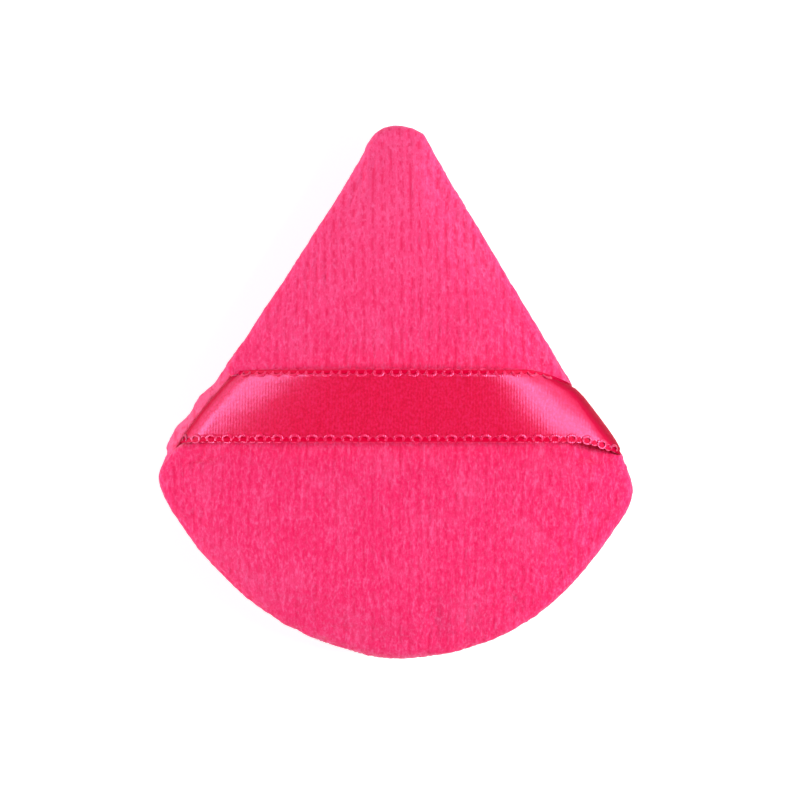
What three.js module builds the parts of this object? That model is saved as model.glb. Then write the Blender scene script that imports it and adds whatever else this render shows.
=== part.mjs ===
// Triangular velour powder puff with a satin finger ribbon, made as a sewn and turned pad.
// Units are millimetres and +Z is up. The puff lies on its back panel, with the ribbon on top and the tip
// towards +Y. The origin is under the middle of the outline, on the surface that the puff lies on.
import * as THREE from "three";

// Plan outline of the sewn puff
const puffLength = 80; // tip to the lowest point of the round edge
const puffWidth = 71; // across the two rounded corners
const tipRadius = 5.7;
const cornerRadius = 6;
const cornerRise = 26.5; // centres of the corner arcs above the lowest point of the round edge

// Pad thickness and crown
const frontCrown = 6; // seam plane to the top of the front panel
const backCrown = 6; // seam plane to the resting face
const restFlatDepth = 0.5; // how much of the back panel's crown is pressed flat where the puff lies
const crownFullness = 3.2; // power of the crown curve: higher is flatter on top and fuller at the edge
const crownSlope = 20; // degrees: slope of the panel where it leaves the rolled edge
const crownY = -4; // where the crown peaks along the puff's length

// Velour panels and their turned seam
const clothThickness = 1.2;
const seamAllowance = 3; // cloth turned inside, from the stitch line to its raw edge
const clearance = 0.3; // between pieces that lie against each other

// Back panel rolling out past the ribbon's left end
const rimRoll = 1.9;
const rimRollReach = 8.5; // from the middle of the roll to where it has died away
const rimRollY = -5.5;

// Satin finger ribbon
const ribbonWidth = 11;
const ribbonThickness = 0.35;
const ribbonY = -2; // middle of the ribbon along the puff's length
const fingerGap = 4.4; // top of the front panel to the underside of the ribbon
const ribbonFlat = 22; // level stretch over the fingers, along the ribbon's middle
const ribbonTuck = 2.5; // ribbon end inside the seam, past the stitch line
const ribbonLeave = 45; // degrees: slope of the ribbon where it leaves the rolled edge
const ribbonBend = 5; // radius in which the right end stands off the edge; the left end lies close round it
const slotRamp = 1; // length over which the seam opens beside the ribbon

// Threads
const threadDiameter = 0.4;
const turningGap = 26; // stretch of the round edge left open for turning and filling
const closingStitch = 3; // length of one stitch of the closing thread
const closingInset = 0.25; // closing thread's path inside the outline

// Facets
const tipSteps = 4;
const sideSteps = 5;
const cornerSteps = 4;
const bottomSteps = 10;
const crownSteps = 5;
const rollSteps = 5;
const foldSteps = 3;
const ribbonSteps = 4;
const threadSides = 5;

// Fits that follow from the sizes above
const foldRadius = threadDiameter / 2 + clearance; // the fold closes round the stitching
const rollRadius = foldRadius + clothThickness; // outside of the turned edge
const stitchInset = rollRadius; // stitch line inside the outline
const rawEdgeInset = stitchInset + seamAllowance;
const coreInset = rawEdgeInset + clearance;
const slotLift = ribbonThickness + clearance; // extra opening of the seam over the ribbon
const foldHeight = clearance / 2 + rollRadius; // centre of the fold above or below the seam plane

const radians = THREE.MathUtils.degToRad;
const upperAngle = radians(90 + crownSlope); // where the panel leaves the rolled edge
const outerAngle = radians(180); // outermost line of the rolled edge
const seamAngle = radians(270); // where the rolled edge meets the seam
const leaveAngle = radians(90 + ribbonLeave); // where the ribbon leaves its bend
const crownCentre = new THREE.Vector2(0, crownY);

// Circles that the outline runs round, on the right half
const lowY = -puffLength / 2;
const tip = { x: 0, y: puffLength / 2 - tipRadius, r: tipRadius };
const corner = { x: puffWidth / 2 - cornerRadius, y: lowY + cornerRise, r: cornerRadius };
const bottomRadius =
  (corner.x ** 2 + cornerRise ** 2 - cornerRadius ** 2) / (2 * (cornerRise - cornerRadius));
const bottom = { x: 0, y: lowY + bottomRadius, r: bottomRadius };
const sideRun = Math.hypot(corner.x, corner.y - tip.y);
const sideAngle = Math.atan2(corner.y - tip.y, corner.x) + Math.acos((tipRadius - cornerRadius) / sideRun);
const cornerEndAngle = Math.atan2(corner.y - bottom.y, corner.x);

// A station is a point of the outline with its outward normal
function stationOnArc(circle, angle) {
  const normal = new THREE.Vector2(Math.cos(angle), Math.sin(angle));
  const point = new THREE.Vector2(circle.x, circle.y).addScaledVector(normal, circle.r);
  return { point, normal };
}

const sideTop = stationOnArc(tip, sideAngle);
const sideBottom = stationOnArc(corner, sideAngle);
const cornerEnd = stationOnArc(corner, cornerEndAngle);

// The right half of the outline falls all the way from the tip, so a height names one station of it
function stationAt(y) {
  if (y > sideTop.point.y) {
    return stationOnArc(tip, Math.asin((y - tip.y) / tip.r));
  }
  if (y > sideBottom.point.y) {
    const along = (y - sideTop.point.y) / (sideBottom.point.y - sideTop.point.y);
    const point = sideTop.point.clone().lerp(sideBottom.point, along);
    return { point, normal: sideTop.normal.clone() };
  }
  if (y > cornerEnd.point.y) {
    return stationOnArc(corner, Math.asin((y - corner.y) / corner.r));
  }
  return stationOnArc(bottom, Math.asin((y - bottom.y) / bottom.r));
}

function mirrored({ point, normal }) {
  return { point: new THREE.Vector2(-point.x, point.y), normal: new THREE.Vector2(-normal.x, normal.y) };
}

function steps(from, to, count) {
  return Array.from({ length: count + 1 }, (_, i) => from + ((to - from) * i) / count);
}

// Heights between which the seam is open for the ribbon
const slotTop = ribbonY + ribbonWidth / 2 + clearance;
const slotBottom = ribbonY - ribbonWidth / 2 - clearance;

function slotOpening(y) {
  const outside = Math.max(y - slotTop, slotBottom - y, 0);
  return slotLift * Math.max(0, 1 - outside / slotRamp);
}

// Stations of the right half from the tip to the lowest point, then of the whole outline
function rightStations() {
  const made = [
    ...steps(radians(90), sideAngle, tipSteps).map((angle) => stationOnArc(tip, angle)),
    ...steps(sideTop.point.y, slotTop + slotRamp, sideSteps).map(stationAt),
    ...[slotTop, ribbonY, rimRollY, slotBottom, slotBottom - slotRamp].map(stationAt),
    ...steps(sideAngle, cornerEndAngle, cornerSteps).map((angle) => stationOnArc(corner, angle)),
    ...steps(cornerEndAngle, radians(-90), bottomSteps).map((angle) => stationOnArc(bottom, angle)),
  ];
  made.sort((a, b) => b.point.y - a.point.y);
  const apart = (station, i) => i === 0 || station.point.distanceTo(made[i - 1].point) > clearance;
  return made.filter(apart);
}

const rightSide = rightStations();
const outline = [...rightSide, ...rightSide.slice(1, -1).reverse().map(mirrored)];

// A point square in from the outline by an inset, then a share of the way to the middle of the crown.
// It moves along the line to that middle, so that insets larger than an arc never cross.
function inward(station, inset, share, z) {
  const toMiddle = crownCentre.clone().sub(station.point).normalize();
  const stretch = 1 / -toMiddle.dot(station.normal);
  const place = station.point.clone().addScaledVector(toMiddle, inset * stretch);
  place.lerp(crownCentre, share);
  return new THREE.Vector3(place.x, place.y, z);
}

// Closed skin over rings of points, with a single point at each end
function skin(rings, firstPoint, lastPoint) {
  const count = rings[0].length;
  const points = [firstPoint, ...rings.flat(), lastPoint];
  const at = (ring, i) => 1 + ring * count + (i % count);
  const faces = [];
  for (let i = 0; i < count; i += 1) {
    faces.push(0, at(0, i + 1), at(0, i));
    for (let ring = 0; ring + 1 < rings.length; ring += 1) {
      faces.push(at(ring, i), at(ring, i + 1), at(ring + 1, i));
      faces.push(at(ring, i + 1), at(ring + 1, i + 1), at(ring + 1, i));
    }
    faces.push(points.length - 1, at(rings.length - 1, i), at(rings.length - 1, i + 1));
  }
  const geometry = new THREE.BufferGeometry().setFromPoints(points);
  geometry.setIndex(faces);
  geometry.computeVertexNormals();
  return geometry;
}

// Height of a panel a share of the way from its rolled edge to the middle of the crown
function crownHeight(edge, crown, share) {
  return edge + (crown - edge) * (1 - (1 - share) ** crownFullness);
}

// Shares are closer together near the edge, where the panel curves most
const crownShares = steps(0, 1, crownSteps).slice(1, -1).map((t) => t ** 1.2);

// Section of a panel at one station, as {inset, share, z} from the middle of its outside, over the rolled
// edge, along the turned allowance and back to the middle of its inside. Heights are from the seam plane.
function panelSection(crown, liftAt, roll, shares) {
  const edgePlace = (inset, height) => ({ inset, share: 0, z: foldHeight + liftAt(inset) + height });
  const ring = (radius, angle) => {
    return edgePlace(stitchInset - roll + radius * Math.cos(angle), radius * Math.sin(angle));
  };
  const dome = (edge, top) =>
    shares.map((share) => ({ ...edge, share, z: crownHeight(edge.z, top, share) }));
  const outerEdge = ring(rollRadius, upperAngle);
  const innerEdge = ring(foldRadius, upperAngle);
  return [
    ...dome(outerEdge, crown).reverse(),
    ...steps(upperAngle, seamAngle, rollSteps).map((angle) => ring(rollRadius, angle)),
    edgePlace(rawEdgeInset, -rollRadius),
    edgePlace(rawEdgeInset, -foldRadius),
    ...steps(seamAngle, upperAngle, foldSteps).map((angle) => ring(foldRadius, angle)),
    ...dome(innerEdge, crown - clothThickness),
  ];
}

function ringsOf(sections) {
  return sections[0].map((_, row) =>
    sections.map((section, i) => {
      const { inset, share, z } = section[row];
      return inward(outline[i], inset, share, z);
    }),
  );
}

function frontCover() {
  const sections = outline.map((station) => {
    const liftAt = (inset) => slotOpening(inward(station, inset, 0, 0).y);
    return panelSection(frontCrown, liftAt, 0, crownShares);
  });
  const outside = new THREE.Vector3(0, crownY, frontCrown);
  const inside = new THREE.Vector3(0, crownY, frontCrown - clothThickness);
  return skin(ringsOf(sections), outside, inside);
}

// The back panel's rim rolls out to the left of the ribbon, and its crown is pressed flat on the table
const fullBackCrown = backCrown + restFlatDepth;
const backEdge = foldHeight + rollRadius * Math.sin(upperAngle);
const flatShare = 1 - (restFlatDepth / (fullBackCrown - backEdge)) ** (1 / crownFullness);
const backShares = steps(0, 1, crownSteps - 1).slice(1).map((t) => flatShare * t ** 1.2);

function rimRollAt({ point }) {
  const reach = Math.min(Math.abs(point.y - rimRollY) / rimRollReach, 1);
  return point.x < 0 ? (rimRoll * (1 + Math.cos(Math.PI * reach))) / 2 : 0;
}

function backCover() {
  const sections = outline.map((station) => {
    const section = panelSection(fullBackCrown, () => 0, rimRollAt(station), backShares);
    return section.map((place) => ({ ...place, z: -Math.min(place.z, backCrown) }));
  });
  const outside = new THREE.Vector3(0, crownY, -backCrown);
  const inside = new THREE.Vector3(0, crownY, clothThickness - backCrown);
  return skin(ringsOf(sections).reverse(), inside, outside);
}

// The sponge fills the panels up to the raw edges of their allowances
function foamCore() {
  const foldEdge = stitchInset + foldRadius * Math.cos(upperAngle);
  const innerEdge = foldHeight + foldRadius * Math.sin(upperAngle);
  const gap = clothThickness + clearance;
  const sections = outline.map((station) => {
    const rim = inward(station, coreInset, 0, 0);
    const start = inward(station, foldEdge, 0, 0);
    const middle = new THREE.Vector3(0, crownY, 0);
    const rimShare = 1 - rim.distanceTo(middle) / start.distanceTo(middle);
    const shares = [0, ...crownShares];
    const heights = shares.map((t) => rimShare + (1 - rimShare) * t);
    const upper = shares.map((share, i) => ({
      inset: coreInset,
      share,
      z: crownHeight(innerEdge - clearance, frontCrown - gap, heights[i]),
    }));
    const lower = shares.map((share, i) => ({
      inset: coreInset,
      share,
      z: -Math.min(crownHeight(innerEdge - clearance, fullBackCrown - gap, heights[i]), backCrown - gap),
    }));
    return [...upper.reverse(), ...lower];
  });
  const above = new THREE.Vector3(0, crownY, frontCrown - gap);
  const below = new THREE.Vector3(0, crownY, gap - backCrown);
  return skin(ringsOf(sections), above, below);
}

// Half of the ribbon's length at one height, from its end inside the seam to the middle of the puff:
// along the allowance, round the rolled edge, over its bend, up the slope and onto the level stretch
const ribbonFold = foldHeight + slotLift;
const ribbonHug = rollRadius + clearance + ribbonThickness / 2;

function ribbonHalf(y, bend) {
  const { point, normal } = stationAt(y);
  const places = [{ inset: stitchInset + ribbonTuck, z: ribbonFold - ribbonHug }];
  const arc = (middle, radius, angles) => {
    for (const angle of angles) {
      places.push({ inset: middle + radius * Math.cos(angle), z: ribbonFold + radius * Math.sin(angle) });
    }
  };
  arc(stitchInset, ribbonHug, steps(seamAngle, outerAngle, rollSteps - 2));
  arc(stitchInset - ribbonHug + bend, bend, steps(outerAngle, leaveAngle, rollSteps - 2).slice(1));
  const leave = places[places.length - 1];
  const rise = frontCrown + fingerGap + ribbonThickness / 2 - leave.z;
  const middle = stationAt(ribbonY);
  const run = (middle.point.x - ribbonFlat / 2) * middle.normal.x - leave.inset;
  const power = (run * Math.tan(radians(ribbonLeave))) / rise;
  for (const t of steps(0, 1, rollSteps + 1).slice(1)) {
    places.push({ inset: leave.inset + run * t, z: leave.z + rise * (1 - (1 - t) ** power) });
  }
  return places.map(({ inset, z }) => new THREE.Vector2(point.x - inset / normal.x, z));
}

function fingerRibbon() {
  const heights = steps(ribbonY - ribbonWidth / 2, ribbonY + ribbonWidth / 2, ribbonSteps);
  const paths = heights.map((y) => {
    const right = ribbonHalf(y, ribbonBend);
    const left = ribbonHalf(y, ribbonHug).map(({ x, y: z }) => new THREE.Vector2(-x, z));
    return [...right, ...left.reverse()];
  });
  // Top and underside lie half a thickness to either side of the path
  const offset = (path, i, distance) => {
    const ahead = path[Math.min(i + 1, path.length - 1)];
    const behind = path[Math.max(i - 1, 0)];
    const along = ahead.clone().sub(behind).normalize();
    return new THREE.Vector2(along.y, -along.x).multiplyScalar(distance).add(path[i]);
  };
  const rings = paths[0].map((_, i) => {
    const edge = (distance) =>
      paths.map((path, row) => {
        const place = offset(path, i, distance);
        return new THREE.Vector3(place.x, heights[row], place.y);
      });
    return [...edge(ribbonThickness / 2), ...edge(-ribbonThickness / 2).reverse()];
  });
  const middleOf = (ring) => {
    return ring.reduce((sum, point) => sum.add(point), new THREE.Vector3()).divideScalar(ring.length);
  };
  return skin(rings, middleOf(rings[0]), middleOf(rings[rings.length - 1]));
}

// A thread is a round section drawn along a smooth curve through its points
function thread(points, count) {
  const section = new THREE.Shape();
  for (const angle of steps(0, radians(360), threadSides).slice(0, -1)) {
    const place = new THREE.Vector2(Math.cos(angle), Math.sin(angle)).multiplyScalar(threadDiameter / 2);
    if (angle === 0) {
      section.moveTo(place.x, place.y);
    } else {
      section.lineTo(place.x, place.y);
    }
  }
  const extrudePath = new THREE.CatmullRomCurve3(points);
  return new THREE.ExtrudeGeometry(section, { steps: count, bevelEnabled: false, extrudePath });
}

// The two threads of the seam run in the folds of the panels, from one end of the turning gap to the other
function seamThread(heightOf) {
  const gapEnd = stationOnArc(bottom, turningGap / 2 / bottomRadius - Math.PI / 2);
  const half = [...rightSide.filter(({ point }) => point.y > gapEnd.point.y + clearance), gapEnd];
  const stations = [...half.slice(1).reverse(), ...half.map(mirrored)];
  const points = stations.map((station) => {
    const place = inward(station, stitchInset, 0, 0);
    return place.setZ(heightOf(place.y));
  });
  return thread(points, 2 * points.length);
}

// The closing thread laces the two rolled edges together across the turning gap
function closingThread() {
  const apart = rollRadius + threadDiameter / 2 + clearance / 2;
  const swing = foldHeight - Math.sqrt(apart ** 2 - (stitchInset - closingInset) ** 2);
  const stitches = Math.round(turningGap / closingStitch);
  const reach = turningGap / 2 / bottomRadius;
  const points = steps(-reach, reach, stitches).map((angle, i) => {
    const station = stationOnArc(bottom, angle - Math.PI / 2);
    return inward(station, closingInset, 0, i % 2 ? swing : -swing);
  });
  return thread(points, 6 * stitches);
}

function piece(name, geometry, color, roughness) {
  const mesh = new THREE.Mesh(geometry, new THREE.MeshStandardMaterial({ color, roughness, metalness: 0 }));
  mesh.name = name;
  return mesh;
}

// Everything above is measured from the seam plane, which lies above the resting face
const sewn = new THREE.Group();
sewn.position.z = backCrown;
sewn.add(
  piece("front_cover", frontCover(), "#fa427c", 0.95),
  piece("back_cover", backCover(), "#f63f78", 0.95),
  piece("foam_core", foamCore(), "#f3ece0", 0.95),
  piece("finger_ribbon", fingerRibbon(), "#e6184a", 0.4),
  piece("needle_thread", seamThread((y) => foldHeight + slotOpening(y)), "#e8336f", 0.7),
  piece("bobbin_thread", seamThread(() => -foldHeight), "#e8336f", 0.7),
  piece("closing_thread", closingThread(), "#e8336f", 0.7),
);

const powderPuff = new THREE.Group();
powderPuff.name = "powder_puff";
powderPuff.add(sewn);

export default powderPuff;
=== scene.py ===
"""Looks of a triangular velour powder puff with a satin finger ribbon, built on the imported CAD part."""
import math

import bmesh
import bpy
import numpy as np
from mathutils import Matrix, Vector, kdtree, noise


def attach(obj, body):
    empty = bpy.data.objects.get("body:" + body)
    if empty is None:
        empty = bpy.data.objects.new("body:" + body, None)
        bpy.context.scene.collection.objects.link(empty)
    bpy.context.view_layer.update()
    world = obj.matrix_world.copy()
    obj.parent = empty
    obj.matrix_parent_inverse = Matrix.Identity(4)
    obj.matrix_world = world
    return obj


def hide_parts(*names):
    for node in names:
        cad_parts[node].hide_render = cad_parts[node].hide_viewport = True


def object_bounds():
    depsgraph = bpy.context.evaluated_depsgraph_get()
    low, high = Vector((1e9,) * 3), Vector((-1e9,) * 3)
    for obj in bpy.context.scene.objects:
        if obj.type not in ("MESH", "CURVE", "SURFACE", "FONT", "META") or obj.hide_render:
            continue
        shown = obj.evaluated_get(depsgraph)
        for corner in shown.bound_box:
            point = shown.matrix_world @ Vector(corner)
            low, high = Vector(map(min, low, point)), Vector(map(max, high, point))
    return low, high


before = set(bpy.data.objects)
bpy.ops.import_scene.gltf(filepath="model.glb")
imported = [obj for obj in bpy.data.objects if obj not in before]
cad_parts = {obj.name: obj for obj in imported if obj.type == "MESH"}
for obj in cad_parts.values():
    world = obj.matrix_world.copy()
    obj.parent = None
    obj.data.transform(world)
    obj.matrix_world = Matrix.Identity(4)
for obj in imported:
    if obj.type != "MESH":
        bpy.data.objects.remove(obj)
cad_box = [list(corner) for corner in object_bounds()]

MM = 0.001

# Sizes of the CAD part, in millimetres. Heights are from the seam plane unless a name says otherwise.
LENGTH = 80.0
WIDTH = 71.0
TIP_RADIUS = 5.7
CORNER_RADIUS = 6.0
CORNER_RISE = 26.5
FRONT_CROWN = 6.0
BACK_CROWN = 6.0
REST_FLAT = 0.5
CROWN_POWER = 3.2
CROWN_SLOPE = 20.0
CROWN_Y = -4.0
CLOTH = 1.2
ALLOWANCE = 3.0
GAP = 0.3
RIBBON_WIDTH = 11.0
RIBBON_THICKNESS = 0.35
RIBBON_Y = -2.0
FINGER_GAP = 4.4
RIBBON_TUCK = 2.5
THREAD = 0.4
TURNING_GAP = 26.0
CLOSING_STITCH = 3.0
CLOSING_INSET = 0.25

FOLD_RADIUS = THREAD / 2 + GAP
ROLL_RADIUS = FOLD_RADIUS + CLOTH
STITCH_INSET = ROLL_RADIUS
RAW_EDGE = STITCH_INSET + ALLOWANCE
SLOT_LIFT = RIBBON_THICKNESS + GAP
FOLD_HEIGHT = GAP / 2 + ROLL_RADIUS
RIBBON_FOLD = FOLD_HEIGHT + SLOT_LIFT
RIBBON_HUG = ROLL_RADIUS + GAP + RIBBON_THICKNESS / 2
SEAM_Z = BACK_CROWN
CENTRE = np.array([0.0, CROWN_Y])


# Outline
def outline_circles():
    low = -LENGTH / 2
    tip = np.array([0.0, LENGTH / 2 - TIP_RADIUS])
    corner = np.array([WIDTH / 2 - CORNER_RADIUS, low + CORNER_RISE])
    bottom_radius = corner[0] ** 2 + CORNER_RISE ** 2 - CORNER_RADIUS ** 2
    bottom_radius = bottom_radius / (2 * (CORNER_RISE - CORNER_RADIUS))
    bottom = np.array([0.0, low + bottom_radius])
    run = corner - tip
    side = math.atan2(run[1], run[0]) + math.acos((TIP_RADIUS - CORNER_RADIUS) / np.hypot(*run))
    end = math.atan2(corner[1] - bottom[1], corner[0])
    return tip, corner, bottom, bottom_radius, side, end


TIP, CORNER, BOTTOM, BOTTOM_RADIUS, SIDE_ANGLE, CORNER_END = outline_circles()
SIDE_NORMAL = np.array([math.cos(SIDE_ANGLE), math.sin(SIDE_ANGLE)])
SIDE_ALONG = np.array([SIDE_NORMAL[1], -SIDE_NORMAL[0]])  # down the right side
SIDE_TOP = TIP + TIP_RADIUS * SIDE_NORMAL


def side_x(y):
    """Right side line's x at a height, which is where the ribbon's ends leave the puff."""
    return SIDE_TOP[0] + (y - SIDE_TOP[1]) * SIDE_ALONG[0] / SIDE_ALONG[1]


def stations(count):
    """Points and outward normals at even steps round the outline, from the tip down the right side."""
    def arc(centre, radius, start, end, n):
        angle = np.linspace(start, end, n)
        normal = np.stack([np.cos(angle), np.sin(angle)], axis=1)
        return centre + radius * normal, normal

    side_bottom = CORNER + CORNER_RADIUS * SIDE_NORMAL
    share = np.linspace(0, 1, 400)[:, None]
    parts = [
        arc(TIP, TIP_RADIUS, math.pi / 2, SIDE_ANGLE, 300),
        (SIDE_TOP + (side_bottom - SIDE_TOP) * share, np.repeat(SIDE_NORMAL[None], len(share), axis=0)),
        arc(CORNER, CORNER_RADIUS, SIDE_ANGLE, CORNER_END, 200),
        arc(BOTTOM, BOTTOM_RADIUS, CORNER_END, -math.pi / 2, 800),
    ]
    points = np.concatenate([p for p, _ in parts])
    normals = np.concatenate([n for _, n in parts])
    flip = np.array([-1.0, 1.0])
    points = np.concatenate([points, (points * flip)[::-1]])
    normals = np.concatenate([normals, (normals * flip)[::-1]])
    along = np.concatenate([[0], np.cumsum(np.linalg.norm(np.diff(points, axis=0), axis=1))])
    at = np.linspace(0, along[-1], count, endpoint=False)
    place = np.stack([np.interp(at, along, points[:, i]) for i in (0, 1)], axis=1)
    normal = np.stack([np.interp(at, along, normals[:, i]) for i in (0, 1)], axis=1)
    return place, normal / np.linalg.norm(normal, axis=1, keepdims=True), at


def inward(points, normals, inset, share):
    """Points square in from the outline by an inset, then a share of the way to the crown's middle."""
    ray = CENTRE - points
    ray = ray / np.linalg.norm(ray, axis=1, keepdims=True)
    stretch = -1 / (ray * normals).sum(axis=1)
    place = points + ray * (inset * stretch)[:, None]
    return place + (CENTRE - place) * share


def bump(y, middle, reach):
    """Smooth hump of height 1 that dies away at a reach from its middle."""
    return 0.5 + 0.5 * np.cos(np.pi * np.clip(np.abs(y - middle) / reach, 0, 1))


def slot_lift(y, margin=0.8, ramp=2.0):
    """How far the front panel's edge is lifted over the ribbon's end."""
    outside = np.maximum(np.abs(y - RIBBON_Y) - RIBBON_WIDTH / 2 - margin, 0)
    return SLOT_LIFT * np.clip(1 - outside / ramp, 0, 1)


# How far each panel's rolled edge stands out from the even outline, by height, as the sewing left it.
# The ribbon draws the front panel in at its left end, and both panels at its right end.
EDGE_LEFT_UPPER = [
    (40, 0.05), (38.5, -0.35), (36, -0.66), (30, -0.75), (25, -0.6), (17, -0.5), (13, -0.25), (8, -0.22),
    (5.5, 0.12),
]
EDGE_LEFT_LOWER = [
    (-11.6, 0.44), (-13, 0.2), (-14.5, -0.1), (-17.5, -0.28), (-20, -0.6), (-24, -0.94), (-28.5, -1.2),
    (-33, -1.05), (-37, -0.85), (-39.3, -0.45), (-40, 0.2),
]
EDGE_LEFT_RIM = [
    (4.5, 0.18), (1.5, 0.2), (0.8, 0.48), (0, 1.0), (-0.8, 1.16), (-1.4, 1.16), (-2.4, 1.0), (-3.3, 0.98),
    (-4, 1.3), (-4.8, 1.64), (-5.8, 1.66), (-6.8, 1.44), (-7.6, 1.58), (-8.2, 1.3), (-8.8, 0.72), (-9.6, 0.68),
    (-10.4, 0.52),
]
EDGE_LEFT_BESIDE = [(3.4, 0.1), (-7.8, 0.3)]  # front panel, just above and below the ribbon
EDGE_RIGHT_UPPER = [(40, 0.05), (38, 0.4), (36, 0.22), (33, 0), (25, -0.08), (18, -0.26), (6, -0.42)]
EDGE_RIGHT_LOWER = [
    (-8.8, 0.6), (-9.4, 0.35), (-10.4, 0.06), (-11.6, -0.14), (-13, -0.14), (-15.2, 0.44), (-17, 0.66),
    (-19.5, 0.36), (-22.5, 0), (-26, -0.12), (-30, 0.02), (-34, 0.22), (-37, 0.28), (-38.5, 0.22), (-40, 0.2),
]
EDGE_RIGHT_BESIDE = [(1.3, -0.46)]
# Where the ribbon's ends turn down, inward from the even side line, by height.
CREASE_LEFT = [(4, 2.3), (2.85, 2.15), (1.35, 1.65), (-1.15, 1.1), (-3.25, 0.75), (-5.4, 0.6), (-9, 0.5)]
CREASE_RIGHT = [
    (2.4, 1.1), (1.6, 1.08), (0.8, 1.04), (0, 0.74), (-0.8, 0.5), (-2.4, 0.28), (-4, 0.1), (-5.6, -0.05),
    (-7.2, -0.11), (-8.2, -0.06), (-9.2, 0.2), (-9.8, 0.5),
]
AT_SEAM_LEFT = (-7.0, 2.4)  # heights between which the ribbon enters each seam
AT_SEAM_RIGHT = (-8.4, 0.2)
SLIP_LEFT = (0.2, 3.4)  # how far the ribbon slides down each slanted side, and from how far off its end
SLIP_RIGHT = (2.4, 5.0)
BACK_SLACK = 0.15  # how much further in the back panel is drawn at the right end
EDGE_BLUR = 0.5  # width over which the unevenness is averaged
ROUND_LENGTH = 225  # of the outline, nearly


def by_height(knots, y):
    heights, values = zip(*sorted(knots))
    return np.interp(y, heights, values)


def even_out(values, width):
    """Values round a closed outline, averaged over a few neighbours."""
    reach = np.arange(-3 * width, 3 * width + 1)
    weight = np.exp(-0.5 * (reach / width) ** 2)
    weight /= weight.sum()
    padded = np.concatenate([values[-3 * width:], values, values[:3 * width]])
    return np.convolve(padded, weight, mode="valid")


def edge_reach(points, front):
    """How far a panel's rolled edge stands out at each point of the outline."""
    x, y = points[:, 0], points[:, 1]
    hug = RIBBON_HUG - STITCH_INSET

    def under_ribbon(crease, heights, slack):
        return [(h, -by_height(crease, h) - hug - slack) for h in np.linspace(*heights, 12)]

    left = EDGE_LEFT_UPPER + EDGE_LEFT_LOWER
    if front:
        left = left + under_ribbon(CREASE_LEFT, AT_SEAM_LEFT, 0.0) + EDGE_LEFT_BESIDE
    else:
        left = left + EDGE_LEFT_RIM
    right = EDGE_RIGHT_UPPER + EDGE_RIGHT_LOWER + EDGE_RIGHT_BESIDE
    right = right + under_ribbon(CREASE_RIGHT, AT_SEAM_RIGHT, 0.0 if front else BACK_SLACK)
    reach = np.where(x < 0, by_height(left, y), by_height(right, y))
    return even_out(reach, max(1, round(EDGE_BLUR * len(points) / ROUND_LENGTH)))


def crown_height(edge, crown, share):
    return edge + (crown - edge) * (1 - (1 - share) ** CROWN_POWER)


def ring_mesh(name, rows, first, last):
    """Closed mesh of quads over rings of points, with a point at each end."""
    rows = np.asarray(rows)
    count, width = rows.shape[:2]
    verts = rows.reshape(-1, 3)
    index = np.arange(count * width).reshape(count, width)
    ahead = np.roll(index, -1, axis=1)
    faces = np.stack([index[:-1], ahead[:-1], ahead[1:], index[1:]], axis=-1).reshape(-1, 4).tolist()
    for row, pole in ((0, len(verts)), (count - 1, len(verts) + 1)):
        faces += np.stack([index[row], ahead[row], np.full(width, pole)], axis=-1).tolist()
    verts = np.concatenate([verts, np.asarray([first, last])])
    mesh = bpy.data.meshes.new(name)
    mesh.from_pydata((verts * MM).tolist(), [], faces)
    mesh.validate()
    mesh.polygons.foreach_set("use_smooth", np.ones(len(mesh.polygons), dtype=bool))
    mesh.update()
    return mesh


def add_piece(name, mesh, material):
    piece = bpy.data.objects.new(name, mesh)
    bpy.context.scene.collection.objects.link(piece)
    mesh.materials.append(material)
    return piece


def set_values(mesh, **attributes):
    """Gives each point of a mesh a number under each name."""
    for name, values in attributes.items():
        mesh.attributes.new(name, "FLOAT", "POINT").data.foreach_set("value", values)


def face_out(mesh):
    """Turns a closed mesh's faces outward."""
    work = bmesh.new()
    work.from_mesh(mesh)
    bmesh.ops.recalc_face_normals(work, faces=work.faces)
    work.to_mesh(mesh)
    work.free()
    mesh.update()


# Materials
WALE = 1.4  # pitch of the knit's columns, which run along the puff


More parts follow.
